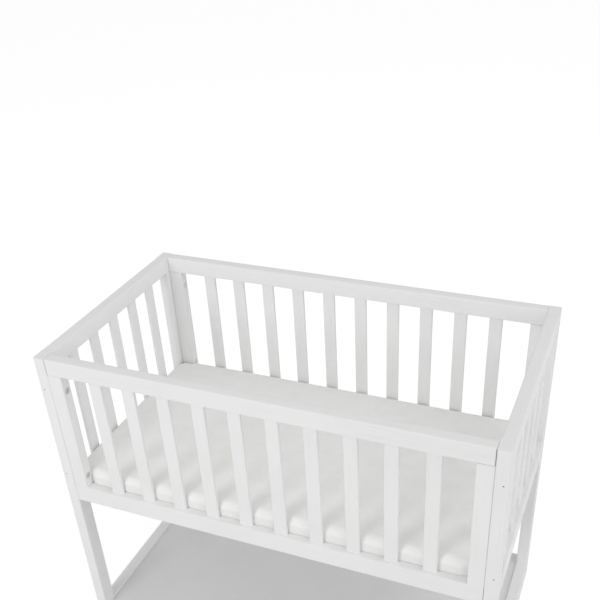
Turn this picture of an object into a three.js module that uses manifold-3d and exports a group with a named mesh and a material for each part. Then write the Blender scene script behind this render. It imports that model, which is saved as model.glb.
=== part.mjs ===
// White wooden bedside crib: two end frames, two barred long panels bolted between them,
// a grooved-in base board with a loose mattress on it, and a storage shelf near the floor.
// Millimetres. X runs along the length, Y from front to back, Z up from the floor.

import * as THREE from "three";
import { mergeVertices } from "three/addons/utils/BufferGeometryUtils.js";
import Module from "manifold-3d";

// Overall size
const overall_length = 950;
const overall_depth = 514;
const overall_height = 770;

// Posts and rails
const post_width = 25;
const post_depth = 34;
const frame_thickness = 24;
const edge_round = 2;
const top_rail_height = 37;
const bottom_rail_height = 42;
const floor_rail_height = 66;
const long_panel_height = 365;
const rail_setback = 0.4;

// Stiles and slats
const stile_width = 31.5;
const slat_width = 28.3;
const slat_thickness = 8.2;
const slat_round = 2.5;
const long_slat_count = 10;
const long_end_gap = 59;
const end_slat_count = 5;
const end_end_gap = 55.6;

// Tenons
const slat_shoulder = 2;
const slat_tenon_thickness = 6;
const slat_tenon_length = 10;
const stile_shoulder = 5;
const stile_tenon_thickness = 9;
const stile_tenon_length = 12;
const rail_shoulder = 6;
const rail_tenon_thickness = 10;
const rail_tenon_length = 15;

// Clearances
const fit = 0.3;
const shoulder_gap = 0.1;
const panel_gap = 0.3;
const overrun = 5;

// Base board, in grooves of the long bottom rails
const base_thickness = 12;
const base_drop = 21;
const base_groove_depth = 8;
const vent_radius = 13;
const vent_columns = 7;
const vent_rows = 3;
const vent_margin = 95;

// Storage shelf, in grooves of the floor rails
const shelf_thickness = 15;
const shelf_drop = 8;
const shelf_groove_depth = 10;
const shelf_setback = 1;

// Mattress
const mattress_side_gap = 3;
const mattress_thickness = 57;
const mattress_crown = 3;
const mattress_corner_radius = 30;
const mattress_edge_radius = 13;
const mattress_draw_in = 1.5;

// Panel bolts and their barrel nuts
const upper_bolt_drop = 38;
const lower_bolt_rise = 28;
const bolt_radius = 3;
const bolt_clearance = 0.5;
const bolt_tip_set_in = 1.4;
const bolt_head_radius = 7;
const bolt_head_thickness = 2.2;
const bolt_head_chamfer = 0.6;
const bolt_head_sink = 0.4;
const bolt_socket_width = 4;
const bolt_socket_depth = 1.6;
const nut_radius = 5;
const nut_length = 16;
const nut_inset = 9;
const nut_cover = 2.4;
const nut_dimple_radius = 1.7;
const nut_dimple_depth = 1.5;

// Facets. A quarter arc of an outline has two steps for each of its segments
const edge_segments = 1;
const vent_segments = 6;
const bolt_segments = 10;
const head_segments = 20;
const nut_segments = 16;
const dimple_segments = 8;
const socket_sides = 6;
const mattress_corner_steps = 5;
const mattress_long_steps = 12;
const mattress_short_steps = 7;
const mattress_edge_steps = 4;
const mattress_crown_steps = 4;

// Heights and spans that follow from the sizes above
const panel_length = overall_length - 2 * post_width - 2 * panel_gap;
const end_rail_length = overall_depth - 2 * post_depth - 2 * fit;
const bottom_rail_top = overall_height - long_panel_height + bottom_rail_height;
const top_rail_underside = overall_height - top_rail_height;
const upright_height = top_rail_underside - bottom_rail_top;
const upright_middle = (top_rail_underside + bottom_rail_top) / 2;
const end_rail_offset = overall_length / 2 - frame_thickness / 2;
const post_offset_x = overall_length / 2 - post_width / 2;
const post_offset_y = overall_depth / 2 - post_depth / 2;
const panel_offset = overall_depth / 2 - frame_thickness / 2;
const base_top_height = bottom_rail_top - base_drop;
const shelf_top_height = floor_rail_height - shelf_drop;
const bolt_heights = [top_rail_underside - upper_bolt_drop, bottom_rail_top + lower_bolt_rise];
const bolt_hole_radius = bolt_radius + bolt_clearance;
const head_hole_radius = bolt_head_radius + bolt_clearance;
const head_hole_depth = bolt_head_thickness + bolt_head_sink + fit;

const materials = {
  lacquer: new THREE.MeshStandardMaterial({ color: 0xf3f2ef, roughness: 0.45, metalness: 0 }),
  board: new THREE.MeshStandardMaterial({ color: 0xeeedea, roughness: 0.5, metalness: 0 }),
  cover: new THREE.MeshStandardMaterial({ color: 0xf0efeb, roughness: 0.95, metalness: 0 }),
  steel: new THREE.MeshStandardMaterial({ color: 0xb4b3ae, roughness: 0.35, metalness: 1 }),
};

const wasm = await Module();
wasm.setup();

// Solids

/** A closed solid from a geometry, with its shared corners merged. */
function solidFrom(geometry) {
  const bare = geometry.clone();
  bare.deleteAttribute("normal");
  bare.deleteAttribute("uv");
  const merged = mergeVertices(bare);
  return new wasm.Manifold(
    new wasm.Mesh({
      numProp: 3,
      vertProperties: merged.attributes.position.array,
      triVerts: new Uint32Array(merged.index.array),
    }),
  );
}

/** The finished geometry of a solid, with flat facets. */
function geometryFrom(solid) {
  const mesh = solid.getMesh();
  const indexed = new THREE.BufferGeometry();
  indexed.setAttribute("position", new THREE.BufferAttribute(mesh.vertProperties, mesh.numProp));
  indexed.setIndex(new THREE.BufferAttribute(mesh.triVerts, 1));
  const flat = indexed.toNonIndexed();
  flat.computeVertexNormals();
  return flat;
}

/** A named mesh of a solid. */
function piece(name, solid, material) {
  const mesh = new THREE.Mesh(geometryFrom(solid), material);
  mesh.name = name;
  return mesh;
}

/** A rectangle round the origin with rounded corners. */
function roundedRectangle(width, height, radius) {
  const w = width / 2;
  const h = height / 2;
  const r = Math.min(radius, w, h);
  const shape = new THREE.Shape();
  shape.absarc(w - r, h - r, r, 0, Math.PI / 2);
  shape.absarc(r - w, h - r, r, Math.PI / 2, Math.PI);
  shape.absarc(r - w, r - h, r, Math.PI, Math.PI * 1.5);
  shape.absarc(w - r, r - h, r, Math.PI * 1.5, Math.PI * 2);
  shape.closePath();
  return shape;
}

/** A shape drawn out to a length along one axis, centred on the origin. */
function drawnAlong(axis, shape, length, segments = edge_segments) {
  const geometry = new THREE.ExtrudeGeometry(shape, {
    depth: length,
    bevelEnabled: false,
    curveSegments: segments,
  });
  geometry.translate(0, 0, -length / 2);
  const x = new THREE.Vector3(1, 0, 0);
  const y = new THREE.Vector3(0, 1, 0);
  const z = new THREE.Vector3(0, 0, 1);
  const turn = new THREE.Matrix4();
  if (axis === "x") turn.makeBasis(y, z, x);
  if (axis === "y") turn.makeBasis(z, x, y);
  return geometry.applyMatrix4(turn);
}

/** A bar along one axis with its long edges rounded. The sizes are along X, Y and Z. */
function bar(axis, [sx, sy, sz], radius, [px, py, pz] = [0, 0, 0]) {
  const sections = { x: [sy, sz, sx], y: [sz, sx, sy], z: [sx, sy, sz] };
  const [width, height, length] = sections[axis];
  const geometry = drawnAlong(axis, roundedRectangle(width, height, radius), length);
  return solidFrom(geometry.translate(px, py, pz));
}

/** A square-edged block, for cutting grooves. */
function block([sx, sy, sz], [px, py, pz]) {
  return solidFrom(new THREE.BoxGeometry(sx, sy, sz).translate(px, py, pz));
}

/** A round bar along X or Y. */
function rod(axis, radius, length, [px, py, pz], segments) {
  const geometry = new THREE.CylinderGeometry(radius, radius, length, segments);
  if (axis === "x") geometry.rotateZ(Math.PI / 2);
  return solidFrom(geometry.translate(px, py, pz));
}

/** Places spaced evenly about zero, with the first and the last a span apart. */
function spread(count, span) {
  return Array.from({ length: count }, (_, i) => (i / (count - 1) - 1 / 2) * span);
}

// Joinery shared by both kinds of frame

const slat_form = {
  width: slat_width,
  thickness: slat_thickness,
  round: slat_round,
  tenonWidth: slat_width - 2 * slat_shoulder,
  tenonThickness: slat_tenon_thickness,
  tenonLength: slat_tenon_length,
};
const stile_form = {
  width: stile_width,
  thickness: frame_thickness,
  round: edge_round,
  tenonWidth: stile_width - 2 * stile_shoulder,
  tenonThickness: stile_tenon_thickness,
  tenonLength: stile_tenon_length,
};

/** A slat or stile that fills the space between two rails, with a round-ended tenon at each end. */
function upright(form, between) {
  const body = bar("z", [form.width, form.thickness, between - 2 * shoulder_gap], form.round);
  const tenonSpan = between + 2 * (form.tenonLength - fit);
  const tenonSize = [form.tenonWidth, form.tenonThickness, tenonSpan];
  return body.add(bar("z", tenonSize, form.tenonThickness / 2));
}

/**
 * The mortise for its tenon, in a rail along X or Y, at a place along that rail.
 * Into is 1 where the mortise goes up from its mouth and -1 where it goes down.
 */
function uprightMortise(form, axis, place, mouth, into) {
  const width = form.tenonWidth + 2 * fit;
  const thickness = form.tenonThickness + 2 * fit;
  const depth = form.tenonLength + overrun;
  const z = mouth + (into * (form.tenonLength - overrun)) / 2;
  if (axis === "x") return bar("z", [width, thickness, depth], thickness / 2, [place, 0, z]);
  return bar("z", [thickness, width, depth], thickness / 2, [0, place, z]);
}

// Long panels, built as the front one; the back one is the same panel turned round

const slat_span = panel_length - 2 * stile_width - 2 * long_end_gap - slat_width;
const slat_places = spread(long_slat_count, slat_span);
const stile_place = panel_length / 2 - stile_width / 2;

/** A long rail with a mortise for each slat and stile. Into is 1 where the mortises go up. */
function longRail(height, into) {
  const length = panel_length - 2 * rail_setback;
  let rail = bar("x", [length, frame_thickness, height], edge_round);
  const mouth = (-into * height) / 2;
  for (const place of slat_places) {
    rail = rail.subtract(uprightMortise(slat_form, "x", place, mouth, into));
  }
  for (const place of [-stile_place, stile_place]) {
    rail = rail.subtract(uprightMortise(stile_form, "x", place, mouth, into));
  }
  return rail;
}

/** The bottom rail of a long panel, with the groove that carries the base board's edge. */
function longBottomRail() {
  const railMiddle = bottom_rail_top - bottom_rail_height / 2;
  const boardMiddle = base_top_height - base_thickness / 2;
  const grooveSize = [panel_length + 2 * overrun, base_groove_depth + overrun, base_thickness + 2 * fit];
  const grooveY = frame_thickness / 2 - (base_groove_depth - overrun) / 2;
  return longRail(bottom_rail_height, -1).subtract(block(grooveSize, [0, grooveY, boardMiddle - railMiddle]));
}

/** A stile with the two holes that its panel bolts pass through, widened at +X to sink their heads. */
function stile() {
  let solid = upright(stile_form, upright_height);
  const headLength = head_hole_depth + overrun;
  const headX = stile_width / 2 - head_hole_depth + headLength / 2;
  for (const height of bolt_heights) {
    const z = height - upright_middle;
    solid = solid
      .subtract(rod("x", bolt_hole_radius, stile_width + 2 * overrun, [0, 0, z], bolt_segments))
      .subtract(rod("x", head_hole_radius, headLength, [headX, 0, z], head_segments));
  }
  return solid;
}

/** A panel bolt screwed into its barrel nut. The bolt lies along X with its head at +X. */
function panelBolt() {
  const seat = post_width - nut_inset + panel_gap + stile_width - head_hole_depth + fit;
  const top = seat + bolt_head_thickness;
  const tip = bolt_tip_set_in - nut_radius;
  const profile = [
    [0, tip],
    [bolt_radius, tip],
    [bolt_radius, seat],
    [bolt_head_radius, seat],
    [bolt_head_radius, top - bolt_head_chamfer],
    [bolt_head_radius - bolt_head_chamfer, top],
    [0, top],
  ].map(([r, h]) => new THREE.Vector2(r, h));
  const turned = new THREE.LatheGeometry(profile, head_segments).rotateZ(-Math.PI / 2);
  const socketRadius = bolt_socket_width / 2 / Math.cos(Math.PI / socket_sides);
  const socketLength = bolt_socket_depth + overrun;
  const socketPlace = [top + (overrun - bolt_socket_depth) / 2, 0, 0];
  const socket = rod("x", socketRadius, socketLength, socketPlace, socket_sides);
  const nutFront = nut_cover - frame_thickness / 2;
  const nut = rod("y", nut_radius, nut_length, [0, nutFront + nut_length / 2, 0], nut_segments);
  const dimpleLength = nut_dimple_depth + overrun;
  const dimplePlace = [0, nutFront + (nut_dimple_depth - overrun) / 2, 0];
  const dimple = rod("y", nut_dimple_radius, dimpleLength, dimplePlace, dimple_segments);
  return solidFrom(turned).subtract(socket).add(nut).subtract(dimple);
}

/** One long panel with its rails, stiles, slats and bolts. */
function longPanel(side) {
  const turned = side === "back";
  const panel = new THREE.Group();
  const frame = new THREE.Group();
  frame.position.y = -panel_offset;
  panel.add(frame);
  panel.rotation.z = turned ? Math.PI : 0;

  const topRail = piece(`${side}_top_rail`, longRail(top_rail_height, 1), materials.lacquer);
  topRail.position.z = overall_height - top_rail_height / 2;
  const bottomRail = piece(`${side}_bottom_rail`, longBottomRail(), materials.lacquer);
  bottomRail.position.z = bottom_rail_top - bottom_rail_height / 2;
  frame.add(topRail, bottomRail);

  for (const way of [-1, 1]) {
    const end = (way < 0) === turned ? "right" : "left";
    const stileMesh = piece(`${side}_${end}_stile`, stile(), materials.lacquer);
    stileMesh.position.set(way * stile_place, 0, upright_middle);
    stileMesh.rotation.z = way < 0 ? 0 : Math.PI;
    frame.add(stileMesh);
    bolt_heights.forEach((height, i) => {
      const level = i === 0 ? "upper" : "lower";
      const bolt = piece(`${side}_${end}_${level}_bolt`, panelBolt(), materials.steel);
      bolt.position.set(way * (overall_length / 2 - nut_inset), 0, height);
      bolt.rotation.y = way < 0 ? 0 : Math.PI;
      frame.add(bolt);
    });
  }
  slat_places.forEach((x, i) => {
    const number = turned ? long_slat_count - i : i + 1;
    const slat = upright(slat_form, upright_height);
    const mesh = piece(`${side}_slat_${number}`, slat, materials.lacquer);
    mesh.position.set(x, 0, upright_middle);
    frame.add(mesh);
  });
  return panel;
}

// End frames, built as the left one; the right one is the same frame turned round

const end_slat_span = overall_depth - 2 * post_depth - 2 * end_end_gap - slat_width;
const end_slat_places = spread(end_slat_count, end_slat_span);
const end_rails = {
  top_rail: [top_rail_height, overall_height - top_rail_height / 2],
  middle_rail: [bottom_rail_height, bottom_rail_top - bottom_rail_height / 2],
  floor_rail: [floor_rail_height, floor_rail_height / 2],
};

/**
 * A post, standing round the origin. Way is -1 for the front corner and 1 for the back corner.
 * A glued plug closes the bore of each nut but for a hole for the pin that turns it.
 */
function post(way) {
  let solid = bar("z", [post_width, post_depth, overall_height], edge_round, [0, 0, overall_height / 2]);
  const railX = post_offset_x - end_rail_offset;
  const mortiseDepth = rail_tenon_length + overrun;
  for (const [height, middle] of Object.values(end_rails)) {
    const size = [rail_tenon_thickness + 2 * fit, mortiseDepth, height - 2 * rail_shoulder + 2 * fit];
    const y = -way * (post_depth / 2 - (rail_tenon_length - overrun) / 2);
    solid = solid.subtract(block(size, [railX, y, middle]));
  }
  const panelY = way * (post_depth / 2 - frame_thickness / 2);
  const nutX = nut_inset - post_width / 2;
  const nutHoleLength = nut_length + 2 * fit;
  const nutY = way * (post_depth / 2 - nut_cover - nut_length / 2);
  const pinHoleLength = nut_cover + overrun;
  const pinY = way * (post_depth / 2 - (nut_cover - overrun) / 2);
  const boltHoleLength = post_width / 2 - nutX + overrun;
  for (const height of bolt_heights) {
    const boltPlace = [nutX + boltHoleLength / 2, panelY, height];
    solid = solid.subtract(rod("x", bolt_hole_radius, boltHoleLength, boltPlace, bolt_segments));
    const nutPlace = [nutX, nutY, height];
    solid = solid.subtract(rod("y", nut_radius + fit, nutHoleLength, nutPlace, nut_segments));
    const pinPlace = [nutX, pinY, height];
    solid = solid.subtract(rod("y", nut_dimple_radius, pinHoleLength, pinPlace, dimple_segments));
  }
  return solid;
}

/** An end rail with a tenon at each end. */
function endRail(height) {
  const body = bar("y", [frame_thickness, end_rail_length, height], edge_round);
  const tenonSpan = end_rail_length + 2 * rail_tenon_length;
  return body.add(block([rail_tenon_thickness, tenonSpan, height - 2 * rail_shoulder], [0, 0, 0]));
}

/** An end rail with a mortise for each slat. Into is 1 where the mortises go up. */
function slattedEndRail(height, into) {
  let rail = endRail(height);
  for (const place of end_slat_places) {
    rail = rail.subtract(uprightMortise(slat_form, "y", place, (-into * height) / 2, into));
  }
  return rail;
}

/** The floor rail, with the groove that carries the shelf's end. */
function floorRail() {
  const shelfMiddle = shelf_top_height - shelf_thickness / 2;
  const size = [shelf_groove_depth + overrun, end_rail_length - 2 * fit, shelf_thickness + 2 * fit];
  const x = frame_thickness / 2 - (shelf_groove_depth - overrun) / 2;
  return endRail(floor_rail_height).subtract(block(size, [x, 0, shelfMiddle - floor_rail_height / 2]));
}

/** One end frame with its posts, rails and slats. */
function endFrame(side) {
  const turned = side === "right";
  const frame = new THREE.Group();
  frame.rotation.z = turned ? Math.PI : 0;

  for (const way of [-1, 1]) {
    const corner = (way < 0) === turned ? "back" : "front";
    const mesh = piece(`${side}_${corner}_post`, post(way), materials.lacquer);
    mesh.position.set(-post_offset_x, way * post_offset_y, 0);
    frame.add(mesh);
  }
  const railSolids = {
    top_rail: slattedEndRail(top_rail_height, 1),
    middle_rail: slattedEndRail(bottom_rail_height, -1),
    floor_rail: floorRail(),
  };
  for (const [name, solid] of Object.entries(railSolids)) {
    const mesh = piece(`${side}_${name}`, solid, materials.lacquer);
    mesh.position.set(-end_rail_offset, 0, end_rails[name][1]);
    frame.add(mesh);
  }
  end_slat_places.forEach((y, i) => {
    const number = turned ? end_slat_count - i : i + 1;
    const slat = upright(slat_form, upright_height);
    const mesh = piece(`${side}_slat_${number}`, slat, materials.lacquer);
    mesh.position.set(-end_rail_offset, y, upright_middle);
    mesh.rotation.z = Math.PI / 2;
    frame.add(mesh);
  });
  return frame;
}

// Boards

/** The board under the mattress, with its ventilation holes. */
function baseBoard() {
  const length = panel_length;
  const depth = overall_depth - 2 * frame_thickness + 2 * base_groove_depth - 2 * fit;
  const outline = roundedRectangle(length, depth, edge_round);
  for (const x of spread(vent_columns, length - 2 * vent_margin)) {
    for (const y of spread(vent_rows, depth - 2 * vent_margin)) {
      outline.holes.push(new THREE.Path().absarc(x, y, vent_radius, 0, Math.PI * 2));
    }
  }
  const mesh = piece(
    "mattress_base_board",
    solidFrom(drawnAlong("z", outline, base_thickness, vent_segments)),
    materials.board,
  );
  mesh.position.z = base_top_height - base_thickness / 2;
  return mesh;
}

/** The shelf, notched at its corners round the posts, with its ends in the floor rails. */
function storageShelf() {
  const endX = overall_length / 2 - frame_thickness + shelf_groove_depth - fit;
  const notchX = overall_length / 2 - post_width - panel_gap;
  const notchY = end_rail_length / 2 - 2 * fit;
  const frontY = overall_depth / 2 - shelf_setback;
  const rightSide = [
    [notchX, -frontY],
    [notchX, -notchY],
    [endX, -notchY],
    [endX, notchY],
    [notchX, notchY],
    [notchX, frontY],
  ];
  const leftSide = rightSide.map(([x, y]) => [-x, -y]);
  const shape = new THREE.Shape([...rightSide, ...leftSide].map(([x, y]) => new THREE.Vector2(x, y)));
  const mesh = piece("storage_shelf", solidFrom(drawnAlong("z", shape, shelf_thickness)), materials.board);
  mesh.position.z = shelf_top_height - shelf_thickness / 2;
  return mesh;
}

// Mattress

/** The mattress outline, moved in by an inset, with its sides drawn in between the corners. */
function mattressOutline(inset) {
  const halfX = overall_length / 2 - frame_thickness - mattress_side_gap - inset;
  const halfY = overall_depth / 2 - frame_thickness - mattress_side_gap - inset;
  const radius = mattress_corner_radius - inset;
  const straightX = halfX - radius;
  const straightY = halfY - radius;
  const corners = [
    [straightX, straightY, mattress_long_steps, [-1, 0]],
    [-straightX, straightY, mattress_short_steps, [0, -1]],
    [-straightX, -straightY, mattress_long_steps, [1, 0]],
    [straightX, -straightY, mattress_short_steps, [0, 1]],
  ];
  const points = [];
  corners.forEach(([cx, cy, steps, [dx, dy]], i) => {
    for (let k = 0; k <= mattress_corner_steps; k += 1) {
      const angle = ((i + k / mattress_corner_steps) * Math.PI) / 2;
      points.push([cx + radius * Math.cos(angle), cy + radius * Math.sin(angle)]);
    }
    const span = 2 * (dx === 0 ? straightY : straightX);
    const [sx, sy] = points[points.length - 1];
    for (let k = 1; k < steps; k += 1) {
      const along = (span * k) / steps;
      const drawn = mattress_draw_in * Math.sin((Math.PI * k) / steps);
      const x = sx + dx * along - Math.abs(dy) * Math.sign(sx) * drawn;
      const y = sy + dy * along - Math.abs(dx) * Math.sign(sy) * drawn;
      points.push([x, y]);
    }
  });
  return points;
}

/** The closed mattress: rounded lower edge, upright side, rounded upper edge and a crowned top. */
function mattress() {
  const rings = [];
  const edge = mattress_edge_radius;
  const bends = [
    [-1, edge],
    [1, mattress_thickness - edge],
  ];
  for (const [way, middle] of bends) {
    for (let k = 0; k <= mattress_edge_steps; k += 1) {
      const share = way < 0 ? k / mattress_edge_steps : 1 - k / mattress_edge_steps;
      const angle = (share * Math.PI) / 2;
      const inset = edge * (1 - Math.sin(angle));
      rings.push(mattressOutline(inset).map(([x, y]) => [x, y, middle + way * edge * Math.cos(angle)]));
    }
  }
  const rim = rings[rings.length - 1];
  for (let k = 1; k < mattress_crown_steps; k += 1) {
    const share = 1 - k / mattress_crown_steps;
    const height = mattress_thickness + mattress_crown * (1 - share * share);
    rings.push(rim.map(([x, y]) => [x * share, y * share, height]));
  }
  const count = rim.length;
  const vertices = [...rings.flat(), [0, 0, 0], [0, 0, mattress_thickness + mattress_crown]];
  const bottom = vertices.length - 2;
  const top = vertices.length - 1;
  const lastRing = (rings.length - 1) * count;
  const faces = [];
  for (let i = 0; i < count; i += 1) {
    const next = (i + 1) % count;
    for (let ring = 0; ring < rings.length - 1; ring += 1) {
      const low = ring * count;
      const high = low + count;
      faces.push(low + i, low + next, high + next, low + i, high + next, high + i);
    }
    faces.push(bottom, next, i);
    faces.push(top, lastRing + i, lastRing + next);
  }
  const geometry = new THREE.BufferGeometry();
  geometry.setAttribute("position", new THREE.Float32BufferAttribute(vertices.flat(), 3));
  geometry.setIndex(faces);
  const mesh = piece("mattress", solidFrom(geometry), materials.cover);
  mesh.position.z = base_top_height + fit;
  return mesh;
}

const crib = new THREE.Group();
crib.add(endFrame("left"), endFrame("right"));
crib.add(longPanel("front"), longPanel("back"));
crib.add(baseBoard(), storageShelf(), mattress());

export default crib;
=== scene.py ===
"""White lacquered bedside crib: its finishes, its mattress in a cotton cover, soft light and the view.

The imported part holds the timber, the boards and the bolts at their real size. This script dresses them,
makes the mattress that lies between them, and sets up the floor, the lamps and the camera.
"""

import logging
import math
from dataclasses import dataclass
from enum import Enum

import bmesh
import bpy
from mathutils import Matrix, Vector, noise


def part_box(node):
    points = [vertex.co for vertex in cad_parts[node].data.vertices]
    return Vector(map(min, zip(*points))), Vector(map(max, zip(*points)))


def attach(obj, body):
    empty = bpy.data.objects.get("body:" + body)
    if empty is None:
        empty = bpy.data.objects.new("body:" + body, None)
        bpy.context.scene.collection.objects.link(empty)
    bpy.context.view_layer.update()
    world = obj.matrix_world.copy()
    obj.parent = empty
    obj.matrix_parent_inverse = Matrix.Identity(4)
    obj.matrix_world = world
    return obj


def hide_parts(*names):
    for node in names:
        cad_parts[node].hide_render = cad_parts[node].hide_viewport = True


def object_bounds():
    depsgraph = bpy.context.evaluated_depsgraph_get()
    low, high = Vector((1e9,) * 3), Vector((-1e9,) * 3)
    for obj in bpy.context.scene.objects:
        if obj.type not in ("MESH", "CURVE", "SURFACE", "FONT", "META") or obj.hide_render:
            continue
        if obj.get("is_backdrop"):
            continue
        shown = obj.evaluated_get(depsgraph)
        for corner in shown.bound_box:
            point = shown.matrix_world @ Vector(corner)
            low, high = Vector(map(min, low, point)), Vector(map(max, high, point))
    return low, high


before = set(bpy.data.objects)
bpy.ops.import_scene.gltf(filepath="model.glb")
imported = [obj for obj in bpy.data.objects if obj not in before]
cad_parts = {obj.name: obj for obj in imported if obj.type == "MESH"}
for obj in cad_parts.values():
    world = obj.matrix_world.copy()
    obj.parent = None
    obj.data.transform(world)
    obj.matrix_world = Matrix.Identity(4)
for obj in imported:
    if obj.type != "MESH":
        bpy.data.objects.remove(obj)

MM = 0.001
LOG = logging.getLogger("crib")
Colour = tuple[float, float, float, float]


def linear(hex_colour: str) -> Colour:
    """Turns an sRGB hex colour into linear light.

    Args:
        hex_colour: Six hex digits after a hash sign.

    Returns:
        Red, green, blue and an alpha of 1.
    """
    channels = [int(hex_colour[i : i + 2], 16) / 255 for i in (1, 3, 5)]
    red, green, blue = [c / 12.92 if c <= 0.04045 else ((c + 0.055) / 1.055) ** 2.4 for c in channels]
    return (red, green, blue, 1.0)


def add_node(
    tree: bpy.types.NodeTree,
    kind: str,
    settings: dict[str | int, object] | None = None,
    links: dict[str | int, bpy.types.NodeSocket] | None = None,
) -> bpy.types.Node:
    """Adds a node with its settings and links.

    Args:
        tree: The tree that takes the node.
        kind: The node's type as Blender names it.
        settings: Values for its properties or, where it has no such property, for its inputs.
        links: Output sockets to join to its inputs, by the input's name or number.

    Returns:
        The new node.
    """
    node = tree.nodes.new(kind)
    for key, value in (settings or {}).items():
        if isinstance(key, str) and hasattr(node, key):
            setattr(node, key, value)
        else:
            node.inputs[key].default_value = value
    for key, socket in (links or {}).items():
        tree.links.new(socket, node.inputs[key])
    return node


def speckle(
    tree: bpy.types.NodeTree, size_mm: float, detail: float, place: bpy.types.NodeSocket
) -> bpy.types.Node:
    """Adds a noise pattern of a real size.

    Args:
        tree: The tree that takes the node.
        size_mm: The size of its spots.
        detail: How many finer layers it has.
        place: The coordinates that it is drawn in, in metres.

    Returns:
        The noise node.
    """
    settings = {"Scale": 1 / (size_mm * MM), "Detail": detail}
    return add_node(tree, "ShaderNodeTexNoise", settings, {"Vector": place})


def blend(
    tree: bpy.types.NodeTree, share: bpy.types.NodeSocket, first: str, second: str
) -> bpy.types.Node:
    """Adds a mix of two colours.

    Args:
        tree: The tree that takes the node.
        share: How much of the second colour shows.
        first: The first colour, in hex.
        second: The second colour, in hex.

    Returns:
        The mix node, whose output 2 is the colour.
    """
    settings = {"data_type": "RGBA", 6: linear(first), 7: linear(second)}
    return add_node(tree, "ShaderNodeMix", settings, {0: share})


def new_material(name: str) -> tuple[bpy.types.Material, bpy.types.NodeTree]:
    """Makes an empty node material.

    Args:
        name: The material's name.

    Returns:
        The material and its node tree.
    """
    material = bpy.data.materials.new(name)
    material.use_nodes = True
    material.node_tree.nodes.clear()
    return material, material.node_tree


class Grain(Enum):
    """The axis that the grain of a timber member runs along."""

    X = 0
    Y = 1
    Z = 2


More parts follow.
